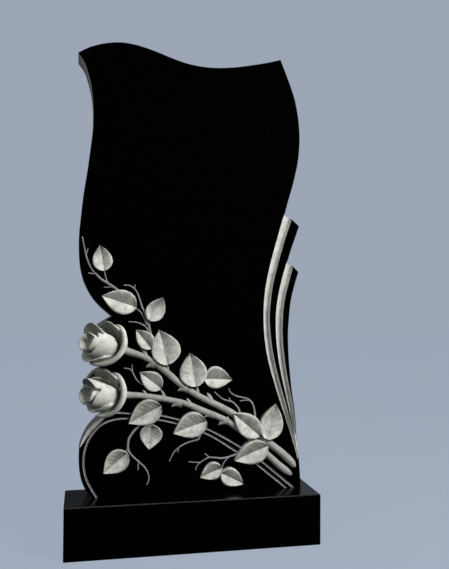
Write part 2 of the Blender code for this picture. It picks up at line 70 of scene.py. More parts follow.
# Channels between the ribbons, in metres and shares where nothing else is said
CHANNEL_DEPTH = 0.009
CHANNEL_RUNOUT = 90  # mm of the drawing over which the floor rises to the foot
CHANNEL_FOOT = 0.12  # of the depth is left at the foot
CUTTER_PROUD = 0.004  # that the cutter stands off the face
FLOOR_WIDTH = 0.7  # of the opening
FLOOR_INSET = 0.35  # of the wall's run that the floor leaves free
FLOOR_HOLLOW = 0.75  # that the floor's sides rise
FLOOR_FLATNESS = 5  # the power by which they rise
FLOOR_EDGE = 0.35  # of the depth is left at its edges
FLOOR_SHARES = (-1.0, -0.9, -0.7, -0.35, 0.0, 0.35, 0.7, 0.9, 1.0)

# Leaves: heights in metres off the polished face
LEAF_VALLEY = 0.0015
LEAF_CREST = 0.0085
LEAF_ROLL = 0.0012
LEAF_LIFT = 0.0030
LEAF_DISH = 0.0035
LEAF_ROOT = 0.004
VEIN_DEPTH = 0.0003

# Leaves: their form, in shares
CREST_FALL = 0.45  # towards the tip
LIFT_FALL = 0.4  # towards the tip
FOLD_FULLNESS = 1.7  # the power by which each half rises from the midrib
MARGIN = 0.14  # of each half is rolled
LEAF_NARROWEST = 0.012  # of the widest, at both ends
LEAF_CROWDING = 0.10  # of the rows towards both ends

# Veins, in shares of a leaf's length and of each half's width
VEINS = 7
VEIN_SWEEP = 0.24  # towards the tip
VEIN_BEND = 0.9  # the power by which they sweep
VEIN_WIDTH = 0.22  # half of it, of the way between two
VEIN_FROM_MIDRIB = 0.15
VEIN_FROM_MARGIN = 0.25
VEIN_FROM_TIP = 0.15

# Stems, twigs, scroll lines and thorns: heights and half widths in metres
STEM_RISE = 0.001
TWIG_TIP = 0.0012
TWIG_ROOT = 0.0030
TWIG_TAPER = 0.013  # gained for each metre from the tip
TWIG_SINK = 0.0003
LINE_RISE = 0.0003
COVE_POINTS = 8  # of the outer line make its wide cove
THORN_POINT = 0.0008
THORN_RISE = 0.003
THORN_RELIEF = 0.75  # of its height is kept
THORN_BEND = 0.10  # of its length
THORN_FULLNESS = 0.9  # the power by which it narrows

# Roses: how far their middle stands proud in metres, and the share of their depth that is kept
ROSE_PROUD = 0.024
ROSE_RELIEF = 0.80

# The outline, in runs that meet at corners, from its left foot round to its right foot
OUTLINE_RUNS = (
    ((62, 120), (46, 143), (36, 170), (32, 200), (32, 231), (36, 246), (43, 262), (52, 277),
     (63, 290), (78, 303), (95, 313)),
    ((95, 313), (74, 330), (54, 348), (44, 368), (46, 390), (62, 410), (80, 420)),
    ((80, 420), (62, 444), (50, 466), (46, 490), (56, 512), (76, 526), (104, 543)),
    ((104, 543), (82, 562), (64, 581), (51, 600), (42, 618), (35, 637), (29, 665), (26.5, 700),
     (26.8, 735), (29.5, 768), (36, 830), (44, 884), (51, 940), (55.5, 980), (57, 1015),
     (56, 1054), (51, 1092), (41, 1129), (33, 1148), (20, 1166)),
    ((20, 1166), (48, 1182), (84, 1194), (122, 1199), (161, 1195), (200, 1185), (239, 1172),
     (278, 1161), (318, 1155.5), (358, 1155.5), (398, 1160), (439, 1168), (480, 1177.5),
     (517, 1188)),
    ((517, 1188), (538, 1137), (555, 1088), (564.5, 1037), (567.5, 987), (563.6, 936), (553, 885),
     (538.5, 834), (528.5, 797)),
    ((528.5, 797), (545, 789)),
    ((545, 789), (566.5, 770)),
    ((566.5, 770), (554, 734), (545, 709), (535.5, 677)),
    ((535.5, 677), (549, 671)),
    ((549, 671), (565, 655)),
    ((565, 655), (554.5, 620), (545, 580), (540, 530), (538.5, 490), (540.5, 440), (544, 400),
     (548.5, 360), (556, 310), (561, 255), (566, 205), (569.5, 165), (572, 120)),
)

# Each channel between the ribbons: height, left edge and right edge, from its open top down
CHANNELS = (
    ((818, 537, 562), (797, 527, 549), (780, 521.5, 544.5), (740, 510, 531), (700, 498.5, 519),
     (660, 488.5, 508), (620, 480.5, 498.5), (580, 476, 493), (540, 475, 490.5), (500, 477, 493),
     (460, 482.5, 498.5), (420, 491, 507), (380, 503, 517.5), (340, 516, 529.5), (300, 529.5, 541),
     (260, 543, 552), (220, 555.5, 561), (190, 564, 566)),
    ((694, 543, 566), (677, 533.5, 552), (660, 528.5, 548.5), (640, 522.5, 543),
     (600, 513.5, 532.5), (560, 507.5, 526), (520, 506.5, 524), (480, 508.5, 525),
     (440, 513.5, 529.5), (400, 521, 535.5), (360, 530.5, 543.5), (320, 540, 551.5),
     (280, 549, 557.5), (240, 557.5, 563.5), (196, 565.5, 567)),
)

# The scroll lines, each with its half width beside each point
OUTER_LINE = (
    (30, 238, 3), (35, 247, 5), (43, 262, 7), (52, 277, 8.5), (63, 290, 9), (78, 303, 8),
    (94, 313, 5), (110, 316.5, 2.6), (130, 316.5, 2.4), (153, 314, 2.4), (190, 312, 2.4),
    (222, 308, 2.4), (262, 298, 2.4), (300, 286, 2.4), (333, 273, 2.4), (370, 254, 2.4),
    (410, 230, 2.4), (440, 211, 2.4), (470, 190, 2.6), (500, 165, 2.8), (530, 140, 3),
    (563, 112, 3),
)
INNER_LINE = (
    (80, 112, 2.6), (67, 132, 2.6), (53, 157, 2.6), (45.5, 180, 2.6), (43, 203, 2.6),
    (44.5, 226, 2.6), (52, 251, 2.6), (65, 272, 2.6), (82, 289, 2.6), (104, 299, 2.6),
    (130, 303, 2.4), (160, 302, 2.4), (190, 300.5, 2.4), (222, 297, 2.4), (262, 287, 2.4),
    (295, 276, 2.4), (325, 265, 2.4), (360, 246, 2.4), (400, 220, 2.4), (430, 202, 2.4),
    (458, 183, 2.4), (490, 157, 2.6), (515, 137, 2.8), (544, 112, 2.8),
)

# Each leaf: base, tip, half width at its left and at its right looking to the tip, layer
LEAVES = (
    ((86, 650), (75, 711), 23, 23, 0),
    ((162, 565), (80, 592), 27, 30, 0),
    ((192, 534), (226, 589), 21, 23, 0),
    ((198, 467), (161, 512), 18, 22, 0),
    ((237, 428), (216, 512), 30, 39, 1),
    ((305, 375), (291, 456), 33, 33, 1),
    ((326, 393), (395, 390), 31, 22, 0),
    ((462, 254), (397, 309), 26, 28, 3),
    ((479, 244), (506, 328), 25, 32, 2),
    ((483, 228), (401, 195), 28, 27, 3),
    ((372, 178), (318, 157), 18, 23, 0),
    ((368, 166), (424, 137), 23, 20, 1),
    ((222, 331), (145, 292), 27, 31, 1),
    ((200, 287), (194, 229), 28, 25, 0),
    ((332, 292), (252, 265), 27, 33, 1),
    ((144, 222), (88, 177), 25, 27, 0),
    ((222, 372), (171, 411), 21, 24, 0),
)

# The two rose stems, each with its half width beside each point
STEMS = (
    ((106, 477, 9), (122, 469, 9.5), (136, 463, 9.5), (150, 458, 8.5), (177, 449, 7.5),
     (204, 434, 7.5), (236, 410, 7.5), (270, 380, 7.5), (308, 355, 7.5), (340, 338, 7.5),
     (378, 319, 8), (408, 300, 8), (445, 270, 8), (482, 239, 8.5), (520, 209, 9), (543, 188, 9),
     (552, 177, 7), (556, 171, 3)),
    ((106, 366, 9), (122, 361, 9.5), (137, 358, 9.5), (152, 357, 8), (182, 355, 7), (228, 347, 7),
     (282, 334, 7), (320, 318, 7), (360, 301, 7.5), (398, 281, 8), (440, 249, 8), (478, 211, 8),
     (512, 180, 8.5), (532, 164, 8.5), (542, 156, 6.5), (546, 152, 3)),
)

# Each thorn: the middle of its root, its point, and the half width of its root
THORNS = (
    ((184, 449), (172, 469), 7), ((206, 430), (186, 423), 11), ((286, 370), (262, 365), 11),
    ((341, 340), (333, 359), 9), ((290, 331), (284, 347), 8), ((271, 335), (247, 328), 11),
    ((351, 305), (328, 302), 9), ((387, 290), (362, 281), 11), ((184, 355), (179, 369), 7),
    ((236, 411), (235, 431), 5), ((309, 355), (307, 377), 5.5), ((229, 350), (219, 371), 5),
)

# The thin twigs, as points along each from its tip
TWIGS = (
    ((34, 731), (38, 712), (43, 688), (49, 670), (57, 655), (67, 643), (79, 631), (92, 623),
     (106, 614), (124, 601)),
    ((86, 654), (89, 637), (95, 622)),
    ((48, 703), (43, 688)),
    ((49, 645), (67, 643)),
    ((86, 612), (107, 613)),
    ((132, 617), (144, 617), (155, 611), (164, 599), (170, 583), (175, 567), (182, 552),
     (187, 536), (192, 520), (197, 500)),
    ((158, 619), (157, 610)),
    ((160, 563), (171, 555), (179, 542), (186, 524)),
    ((144, 531), (160, 530), (173, 526), (184, 519), (192, 508)),
    ((193, 537), (194, 515)),
    ((134, 421), (147, 419), (154, 412), (160, 400), (168, 389), (180, 381)),
    ((153, 429), (154, 412)),
    ((387, 369), (393, 358), (405, 350), (420, 346), (433, 343), (444, 335), (450, 324),
     (453, 310), (454, 296)),
    ((416, 337), (433, 339), (443, 336)),
    ((352, 361), (363, 351), (373, 343), (387, 338), (397, 335), (406, 327), (413, 318),
     (417, 304)),
    ((388, 346), (394, 336)),
    ((243, 198), (247, 205), (251, 214), (258, 223), (269, 232), (283, 239), (298, 244),
     (313, 248), (318, 262)),
    ((263, 219), (266, 229)),
    ((190, 145), (194, 154), (195, 164), (191, 176), (184, 187), (174, 197), (164, 206),
     (153, 217), (146, 228), (145, 240), (147, 254), (153, 265), (162, 276), (176, 288)),
    ((169, 181), (170, 200)),
    ((137, 224), (146, 231)),
    ((307, 174), (309, 182), (316, 190), (326, 197), (339, 203), (354, 202), (369, 200),
     (387, 202), (400, 206), (412, 208)),
    ((290, 195), (303, 193), (318, 192)),
    ((329, 213), (340, 204)),
    ((370, 172), (374, 184), (380, 194), (391, 203)),
)

# Each petal: direction in degrees, from the front over the top, half spread, fall of rim, section
# A section's points are along and away from the rose's axis in mm
# The open petal also has its thickness, width at the root, sweep along the axis and half rim
UPPER_ROSE = (
    (20, 120, 0.05, ((-36, 6), (-42, 28), (-36, 44), (-24, 50)), 6.5, 1.0, 46, 6.5),
    (122, 66, 0.16, ((-36, 6), (-34, 28), (-18, 46), (8, 57))),
    (170, 56, 0.20, ((-30, 6), (-28, 28), (0, 42), (34, 42))),
    (-104, 58, 0.18, ((-28, 6), (-26, 24), (0, 38), (36, 48))),
    (-60, 84, 0.30, ((-26, 6), (-24, 24), (0, 34), (42, 36))),
    (34, 66, 0.10, ((-26, 6), (-23, 20), (2, 27), (30, 23))),
    (112, 56, 0.24, ((-20, 6), (-10, 22), (20, 32), (44, 45))),
    (196, 60, 0.24, ((-14, 5), (0, 22), (26, 28), (50, 30))),
    (-50, 80, 0.14, ((-10, 5), (4, 18), (26, 23), (48, 24))),
    (100, 70, 0.25, ((-10, 5), (4, 14), (26, 16), (46, 20))),
)
LOWER_ROSE = (
    (20, 120, 0.05, ((-36, 6), (-42, 28), (-36, 44), (-24, 50)), 6.5, 1.0, 34, 6.5),
    (116, 60, 0.20, ((-36, 6), (-32, 28), (-16, 47), (10, 61))),
    (165, 56, 0.20, ((-30, 6), (-28, 28), (0, 42), (34, 44))),
    (-96, 64, 0.12, ((-28, 6), (-26, 24), (-4, 37), (26, 42))),
    (-36, 80, 0.30, ((-26, 6), (-24, 24), (0, 31), (40, 30))),
    (46, 66, 0.10, ((-26, 6), (-23, 20), (2, 25), (28, 21))),
    (88, 62, 0.16, ((-20, 6), (-8, 23), (20, 31), (52, 36))),
    (196, 60, 0.24, ((-14, 5), (0, 22), (26, 28), (48, 30))),
    (-50, 80, 0.14, ((-10, 5), (4, 16), (26, 20), (46, 21))),
    (100, 70, 0.25, ((-10, 5), (4, 14), (26, 16), (44, 18))),
)

# Petals, in shares where nothing else is said
PETAL_THICKNESS = 6.5  # mm, where a petal has none of its own
PETAL_NARROW = 0.62  # of its spread at the root, where a petal has none of its own
PETAL_OPENING = 1.5  # how soon a petal reaches its full spread
PETAL_SQUARENESS = 2.4  # the power by which its rim falls to the sides
RIM_THINNING = 0.5
SIDE_THINNING = 0.45
ROLL_THINNING = 0.55  # of a rolled rim at its ends
WIDE_PETAL = 100  # degrees of half spread from which a petal has twice the columns

# Each rose: its middle in the drawing, how far its axis rises to the left, its petals
ROSES = (
    ((86, 478), 14, UPPER_ROSE),
    ((86, 362), 8, LOWER_ROSE),
)
ROSE_TURN = 30  # degrees that the axis comes forward from the slab
CORE_ALONG = 33
CORE_ACROSS = 22
CORE_SHIFT = 2

# Half the width of a leaf at each share of its length, from its base to its tip
LEAF_SHAPE = ((0.0, 0.0), (0.03, 0.30), (0.12, 0.68), (0.25, 0.93), (0.40, 1.0), (0.56, 0.92),
              (0.72, 0.68), (0.86, 0.36), (0.94, 0.14), (1.0, 0.0))

# Fineness: rows, columns and steps of the forms
CURVE_STEPS = 6
LINE_STEPS = 5
CHANNEL_STEPS = 5
THORN_STEPS = 2
THORN_SPANS = 5
SECTION_STEPS = 10
OUTLINE_STEP = 3
LEAF_ROWS = 52
LEAF_COLUMNS = 24
PETAL_ROWS = 20
PETAL_COLUMNS = 26
CORE_COLUMNS = 40
CORE_ROWS = 24
ARRIS_STEPS = 2

# Fineness: how round stems, lines and the like are made
STEM_ROUND = 8
ROLL_ROUND = 6
THORN_ROUND = 4
LINE_ROUND = 3
TWIG_ROUND = 2

# Melting of the roses: grain in metres, passes and strength of smoothing, share of faces kept
ROSE_GRAIN = 0.0014
ROSE_PASSES = 16
ROSE_SOFTNESS = 0.5
ROSE_KEPT = 0.36

# Tolerances in metres
WELD = 1e-6
LEVEL = 1e-5

# How far a face's normal lies along the slab's thickness, for a flat face at least, a side at most
FACING = 0.9999
ALONG_SIDE = 0.1

# Angles: flat spots that are dissolved in radians, arrises and sharp edges in degrees
FLAT_ANGLE = 0.001
ARRIS_ANGLE = 80
SHARP_ANGLE = 38

# Polished stone: sizes of texture, colours of its crystals, gloss
CRYSTAL_SCALE = 620
CRYSTAL_RANGE = (0.35, 0.97)
CRYSTAL_DARK = (0.0001, 0.0001, 0.0002)
CRYSTAL_PALE = (0.0006, 0.0007, 0.0011)
HAZE_SCALE = 9
HAZE_DETAIL = 4
STONE_IOR = 1.5
POLISHED_SPECULAR = 0.5

# Carved stone: sizes of texture, darkest specks, pits, gloss
CARVED_ROUGHNESS = 0.62
CARVED_SPECULAR = 0.35
CLOUD_SCALE = 55
CLOUD_DETAIL = 6
CLOUD_ROUGHNESS = 0.62
CLOUD_RANGE = (0.30, 0.70)
GRAIN_SCALE = 520
GRAIN_RANGE = (0.0, 0.45)
GRAIN_DARK = (0.74, 0.74, 0.74)
PIT_SCALE = 800
PIT_DETAIL = 3
PIT_STRENGTH = 0.30
PIT_DEPTH = 0.0006
WHITE = (1.0, 1.0, 1.0)

# Studio: what the camera sees, the soft light, and what the polish mirrors, paler upwards
BACKDROP = (0.332, 0.381, 0.462, 1)
SOFT_LIGHT = (0.80, 0.90, 1.0, 1)
SOFT_STRENGTH = 0.09
MIRROR_DARK = (0.002, 0.002, 0.003)
MIRROR_PALE = (0.20, 0.22, 0.25)
MIRROR_RANGE = (0.47, 0.78)
MIRROR_LEANS = (("Y", 0.3), ("X", 0.6))  # and by these shares to the back and to the right

# Each lamp: its place, what it is aimed at, size, power, colour, and whether only gloss shows it
LAMPS = {
    "key": ((1.7, -1.9, 2.1), (-0.05, 0.0, 0.45), 1.3, 165, (1.0, 0.985, 0.95), False),
    "fill": ((-2.2, -1.0, 1.3), (-0.15, 0.0, 0.50), 1.2, 26, (0.95, 0.97, 1.0), False),
    "gleam": ((0.3, 0.5, 3.4), (0.3, 0.4, 0.0), 2.4, 145, (0.95, 0.98, 1.0), True),
}

# Camera: its place in metres, its turns in radians, its lens and sensor in mm
CAMERA_SPOT = (-0.2647, -1.630, 0.5747)
CAMERA_YAW = 0.2069
CAMERA_PITCH = 0.0285
CAMERA_ROLL = 0.0052
CAMERA_LENS = 42.9
CAMERA_SENSOR = 36

# Floor: half its side in metres, its paint and its glow
FLOOR_SIZE = 12
FLOOR_PAINT = (0.030, 0.033, 0.038, 1)
FLOOR_GLOW = (0.325, 0.378, 0.470, 1)


def smooth(points, steps):
    """Gives a smooth run through points of any number of coordinates, with steps to each span."""
    ends = [points[0], *points, points[-1]]
    run = []
    for k in range(len(points) - 1):
        before, start, end, after = ends[k:k + 4]
        for step in range(steps):
            t = step / steps
            run.append(tuple(
                0.5 * (2 * b + (c - a) * t + (2 * a - 5 * b + 4 * c - d) * t ** 2
                       + (3 * b - a - 3 * c + d) * t ** 3)
                for a, b, c, d in zip(before, start, end, after)))
    run.append(tuple(points[-1]))
    return run


def place(x, z, proud=0.0):
    """Takes a point of the drawing to the stele's face, or to a distance in front of it."""
    across = STELE_LEFT + (x - DRAWN_LEFT) * MM
    up = STELE_FOOT + (z - DRAWN_FOOT) * MM
    return Vector((across, FACE_Y - proud, up))


class Recipe:
    """The nodes of a material or world, with makers of nodes and links and its coordinates."""

    def __init__(self, owner, bare=False):
        owner.use_nodes = True
        self.tree = owner.node_tree
        self.link = self.tree.links.new
        if bare:
            self.tree.nodes.clear()
        self.where = self.make("ShaderNodeTexCoord")

    def make(self, kind, **values):
        """A new node with its properties set."""
        node = self.tree.nodes.new(kind)
        for name, value in values.items():
            setattr(node, name, value)
        return node

    def texture(self, kind, **sockets):
        """A texture node that follows the object's own coordinates."""
        node = self.make(kind)
        for name, value in sockets.items():
            node.inputs[name].default_value = value
        self.link(self.where.outputs["Object"], node.inputs["Vector"])
        return node

    def ramp(self, value, span, low, high):
        """A run between two colours over a span of the value."""
        node = self.make("ShaderNodeValToRGB")
        for end, spot, colour in zip(node.color_ramp.elements, span, (low, high)):
            end.position = spot
            end.color = (*colour, 1)
        self.link(value, node.inputs["Fac"])
        return node.outputs["Color"]

    def multiply(self, one, other):
        """The product of two colours."""
        node = self.make("ShaderNodeMix", data_type="RGBA", blend_type="MULTIPLY")
        node.inputs["Factor"].default_value = 1.0
        self.link(one, node.inputs["A"])
        self.link(other, node.inputs["B"])
        return node.outputs["Result"]


def start_stone(name):
    """A new material with its recipe and its shader."""
    material = bpy.data.materials.new(name)
    recipe = Recipe(material)
    shader = recipe.tree.nodes["Principled BSDF"]
    shader.inputs["Metallic"].default_value = 0.0
    return material, recipe, shader


def polished_granite(name, smoothest, dullest):
    """Polished black granite: fine dark crystals, a few paler flecks, faint haze."""
    material, recipe, shader = start_stone(name)
    shader.inputs["IOR"].default_value = STONE_IOR
    shader.inputs["Specular IOR Level"].default_value = POLISHED_SPECULAR
    crystals = recipe.texture("ShaderNodeTexVoronoi", Scale=CRYSTAL_SCALE)
    stone = recipe.ramp(crystals.outputs["Color"], CRYSTAL_RANGE, CRYSTAL_DARK, CRYSTAL_PALE)
    recipe.link(stone, shader.inputs["Base Color"])
    haze = recipe.texture("ShaderNodeTexNoise", Scale=HAZE_SCALE, Detail=HAZE_DETAIL)
    rough = recipe.make("ShaderNodeMapRange")
    rough.inputs["To Min"].default_value = smoothest
    rough.inputs["To Max"].default_value = dullest
    recipe.link(haze.outputs["Fac"], rough.inputs["Value"])
    recipe.link(rough.outputs["Result"], shader.inputs["Roughness"])
    return material


def carved_granite(name, low, high, painted_shade=None, painted_light_from=(0.55, -0.08, 0.18), turn=(-0.30, 0.40)):
    """The same stone left rough by the chisel: grey, speckled and pitted, between two tones.

    Where a painted shade tone is given, it darkens the stone that turns away from the painted
    light's direction, over the given range of their dot product: painted shade, not a tone of the
    stone.
    """
    material, recipe, shader = start_stone(name)
    shader.inputs["Roughness"].default_value = CARVED_ROUGHNESS
    shader.inputs["Specular IOR Level"].default_value = CARVED_SPECULAR
    cloud = recipe.texture("ShaderNodeTexNoise", Scale=CLOUD_SCALE, Detail=CLOUD_DETAIL,
                           Roughness=CLOUD_ROUGHNESS)
    tone = recipe.ramp(cloud.outputs["Fac"], CLOUD_RANGE, low, high)
    grains = recipe.texture("ShaderNodeTexVoronoi", Scale=GRAIN_SCALE)
    speck = recipe.ramp(grains.outputs["Color"], GRAIN_RANGE, GRAIN_DARK, WHITE)
    stone = recipe.multiply(tone, speck)
    # Painted shade: the colour is darkened by which way each face turns, standing in for light and
    # shade
    if painted_shade:
        faces = recipe.make("ShaderNodeNewGeometry")
        toward_painted_light = recipe.make("ShaderNodeVectorMath", operation="DOT_PRODUCT")
        toward_painted_light.inputs[1].default_value = painted_light_from
        recipe.link(faces.outputs["Normal"], toward_painted_light.inputs[0])
        reach = recipe.make("ShaderNodeMapRange")
        reach.inputs["From Min"].default_value, reach.inputs["From Max"].default_value = turn
        recipe.link(toward_painted_light.outputs["Value"], reach.inputs["Value"])
        shade = recipe.ramp(reach.outputs["Result"], (0.0, 1.0), painted_shade, WHITE)
        stone = recipe.multiply(stone, shade)
    recipe.link(stone, shader.inputs["Base Color"])
    pits = recipe.texture("ShaderNodeTexNoise", Scale=PIT_SCALE, Detail=PIT_DETAIL)
    bump = recipe.make("ShaderNodeBump")
    bump.inputs["Strength"].default_value = PIT_STRENGTH
    bump.inputs["Distance"].default_value = PIT_DEPTH
    recipe.link(pits.outputs["Fac"], bump.inputs["Height"])
    recipe.link(bump.outputs["Normal"], shader.inputs["Normal"])
    return material


# The finishes of the stele, and the softer polish of the plinth
FINISHES = {
    "polished": polished_granite("polished_granite", smoothest=0.055, dullest=0.110),
    "sawn": carved_granite("sawn_granite", low=(0.15, 0.15, 0.14), high=(0.23, 0.23, 0.215)),
    # Carved: painted shade darkens the stone that faces downwards, as on the upper halves of the
    # leaves
    "carved": carved_granite("carved_granite", low=(0.27, 0.27, 0.25), high=(0.57, 0.57, 0.54),
                             painted_shade=(0.52, 0.52, 0.50), painted_light_from=(0.15, 0.0, 0.5),
                             turn=(-0.12, 0.08)),
    # Incised: a darker tone that is painted shade in the cut scroll lines; the twigs take the same
    # tone
    "incised": carved_granite("incised_granite", low=(0.165, 0.165, 0.175),
                              high=(0.245, 0.245, 0.26)),
    "brushed": carved_granite("brushed_granite", low=(0.20, 0.20, 0.19),
                              high=(0.31, 0.31, 0.295)),
    "ribbon": carved_granite("ribbon_granite", low=(0.36, 0.36, 0.345),
                             high=(0.52, 0.52, 0.50)),
    # Roses: greenish painted shade on the stone that turns away from the right, the front and above
    "rose": carved_granite("rose_granite", low=(0.40, 0.405, 0.375), high=(0.60, 0.605, 0.57),
                           painted_shade=(0.34, 0.36, 0.31)),
}
FINISH_SLOTS = {finish: slot for slot, finish in enumerate(FINISHES)}
HONED = polished_granite("honed_granite", smoothest=0.15, dullest=0.22)


def add_object(name, mesh, collection, finish="carved"):
    """Puts a mesh in a collection as an object with one of the stone's finishes."""
    mesh.materials.clear()
    for material in FINISHES.values():
        mesh.materials.append(material)
    for face in mesh.polygons:
        face.material_index = FINISH_SLOTS[finish]
    item = bpy.data.objects.new(name, mesh)
    collection.objects.link(item)
    return item


def mesh_from(name, vertices, faces):
    """Makes a closed mesh with its faces pointing out."""
    mesh = bpy.data.meshes.new(name)
    mesh.from_pydata([tuple(v) for v in vertices], [], faces)
    work = bmesh.new()
    work.from_mesh(mesh)
    bmesh.ops.recalc_face_normals(work, faces=work.faces)
    work.to_mesh(mesh)
    work.free()
    return mesh


def mesh_seen(item):
    """A new mesh of an object as its curve and modifiers make it."""
    seen = item.evaluated_get(bpy.context.evaluated_depsgraph_get())
    return bpy.data.meshes.new_from_object(seen)


def curve_to_object(name, curve, collection, finish="carved"):
    """Turns a curve into a welded mesh object."""
    maker = bpy.data.objects.new(name + "_curve", curve)
    bpy.context.scene.collection.objects.link(maker)
    mesh = mesh_seen(maker)
    work = bmesh.new()
    work.from_mesh(mesh)
    bmesh.ops.remove_doubles(work, verts=work.verts, dist=WELD)
    bmesh.ops.recalc_face_normals(work, faces=work.faces)
    work.to_mesh(mesh)
    work.free()
    bpy.data.objects.remove(maker, do_unlink=True)
    return add_object(name, mesh, collection, finish)


def slab(name, collection):
    """The flat slab: the outline given its thickness, with eased arrises and sawn sides."""
    outline = []
    for run in OUTLINE_RUNS:
        spans = [math.dist(start, end) for start, end in zip(run, run[1:])]
        steps = max(1, round(sum(spans) / len(spans) / OUTLINE_STEP)) if len(run) > 2 else 1
        outline.extend(smooth(run, steps)[:-1])
    outline.append(OUTLINE_RUNS[-1][-1])
    curve = bpy.data.curves.new(name, "CURVE")
    curve.dimensions = "2D"
    curve.fill_mode = "BOTH"
    curve.extrude = STELE_THICKNESS / 2
    spline = curve.splines.new("POLY")
    spline.points.add(len(outline) - 1)
    spline.use_cyclic_u = True
    for point, (x, z) in zip(spline.points, outline):
        spot = place(x, z)
        point.co = (spot.x, spot.z, 0, 1)
    item = curve_to_object(name, curve, collection, "polished")
    upright = Matrix.Rotation(math.pi / 2, 4, "X")
    item.data.transform(Matrix.Translation((0, MIDDLE_Y, 0)) @ upright)
    work = bmesh.new()
    work.from_mesh(item.data)
    bmesh.ops.dissolve_limit(work, angle_limit=FLAT_ANGLE, verts=work.verts, edges=work.edges)
    rim = [edge for edge in work.edges if len(edge.link_faces) == 2
           and edge.calc_face_angle() > math.radians(ARRIS_ANGLE)
           and abs(edge.verts[0].co.y - edge.verts[1].co.y) < WELD]
    bmesh.ops.bevel(work, geom=rim, offset=STELE_ARRIS, segments=ARRIS_STEPS, profile=0.5,
                    affect="EDGES")
    work.to_mesh(item.data)
    work.free()
    for face in item.data.polygons:
        side = abs(face.normal.y) < ALONG_SIDE
        face.material_index = FINISH_SLOTS["sawn" if side else "polished"]
    return item


def channel(name, stations, collection):
    """The space of one channel: a loft with a dished floor that runs out to nothing at its foot."""
    run = smooth(stations, CHANNEL_STEPS)
    foot = run[-1][0]
    vertices = []
    for z, left, right in run:
        risen = CHANNEL_FOOT + (1 - CHANNEL_FOOT) * (z - foot) / CHANNEL_RUNOUT
        depth = CHANNEL_DEPTH * min(1.0, risen)
        middle = (left + right) / 2
        half = (right - left) / 2
        inset = half * (1 - FLOOR_WIDTH)
        outset = inset * CUTTER_PROUD / depth
        vertices.append(place(left - outset, z, CUTTER_PROUD))
        for share in FLOOR_SHARES:
            reach = share * (half - inset * FLOOR_INSET)
            drop = depth * (1 - abs(share) ** FLOOR_FLATNESS * FLOOR_HOLLOW)
            if abs(share) == 1.0:
                drop = depth * FLOOR_EDGE
            vertices.append(place(middle + reach, z, -drop))
        vertices.append(place(right + outset, z, CUTTER_PROUD))
    ring = len(FLOOR_SHARES) + 2
    count = len(run)
    faces = []
    for k in range(count - 1):
        for side in range(ring):
            after = (side + 1) % ring
            low = k * ring
            high = low + ring
            faces.append((low + side, low + after, high + after))
            faces.append((low + side, high + after, high + side))
    faces.append(tuple(range(ring)))
    faces.append(tuple(range((count - 1) * ring, count * ring)))
    return add_object(name, mesh_from(name, vertices, faces), collection, "ribbon")


def tube(name, spots, halves, roundness, collection, finish="carved"):
    """A round run through points in space with half a width in mm at each, as a mesh object."""
    curve = bpy.data.curves.new(name, "CURVE")
    curve.dimensions = "3D"
    curve.fill_mode = "FULL"
    curve.bevel_depth = MM
    curve.bevel_resolution = roundness
    curve.use_fill_caps = True
    spline = curve.splines.new("POLY")
    spline.points.add(len(spots) - 1)
    for point, spot, half in zip(spline.points, spots, halves):
        point.co = (*spot, 1)
        point.radius = half
    return curve_to_object(name, curve, collection, finish)


def rod(name, points, proud, roundness, collection, steps=CURVE_STEPS, finish="carved"):
    """A round run through drawing points with their half widths, at a height off the face."""
    run = smooth(points, steps)
    spots = [place(x, z, proud) for x, z, half in run]
    halves = [half for x, z, half in run]
    return tube(name, spots, halves, roundness, collection, finish)


def twig_run(points):
    """The points of a twig, each with its half width, which grows with the way from the tip."""
    run = []
    way = 0.0
    for k, (x, z) in enumerate(points):
        way += math.dist(points[k - 1], (x, z)) if k else 0.0
        half = min(TWIG_ROOT, TWIG_TIP + TWIG_TAPER * way * MM)
        run.append((x, z, half / MM))
    return run


def leaf_width(share):
    """Half the width of a leaf, as a share of its widest, at a share of its length."""
    shares = [spot for spot, wide in LEAF_SHAPE]
    wides = [wide for spot, wide in LEAF_SHAPE]
    for k, (low, high) in enumerate(zip(shares, shares[1:])):
        if share <= high:
            before = max(0, k - 1)
            after = min(len(shares) - 1, k + 2)
            start, end = wides[k], wides[k + 1]
            span = high - low
            t = (share - low) / span
            slope_in = (end - wides[before]) / (high - shares[before]) * span
            slope_out = (wides[after] - start) / (shares[after] - low) * span
            return ((2 * t ** 3 - 3 * t ** 2 + 1) * start + (t ** 3 - 2 * t ** 2 + t) * slope_in
                    + (3 * t ** 2 - 2 * t ** 3) * end + (t ** 3 - t ** 2) * slope_out)
    return 0.0


def leaf_height(share, side, layer):
    """How far a leaf stands proud: folded along its midrib, each half rising to a rolled margin."""
    out = abs(side)
    crest = LEAF_CREST - (LEAF_CREST - LEAF_VALLEY) * CREST_FALL * share ** 3
    height = LEAF_VALLEY + (crest - LEAF_VALLEY) * (1 - (1 - out) ** FOLD_FULLNESS)
    height -= LEAF_ROLL * max(0.0, (out - (1 - MARGIN)) / MARGIN) ** 2
    phase = (share - VEIN_SWEEP * out ** VEIN_BEND) * VEINS
    near = abs(phase - round(phase))
    groove = max(0.0, 1 - near / VEIN_WIDTH)
    fade = min(1.0, out / VEIN_FROM_MIDRIB)
    fade = fade * min(1.0, (1 - out) / VEIN_FROM_MARGIN) * min(1.0, (1 - share) / VEIN_FROM_TIP)
    height -= VEIN_DEPTH * groove * groove * (3 - 2 * groove) * max(0.0, fade)
    lift = layer * LEAF_LIFT * (1 - LIFT_FALL * share ** 2)
    return height + LEAF_DISH * (2 * share - 1) ** 2 + lift


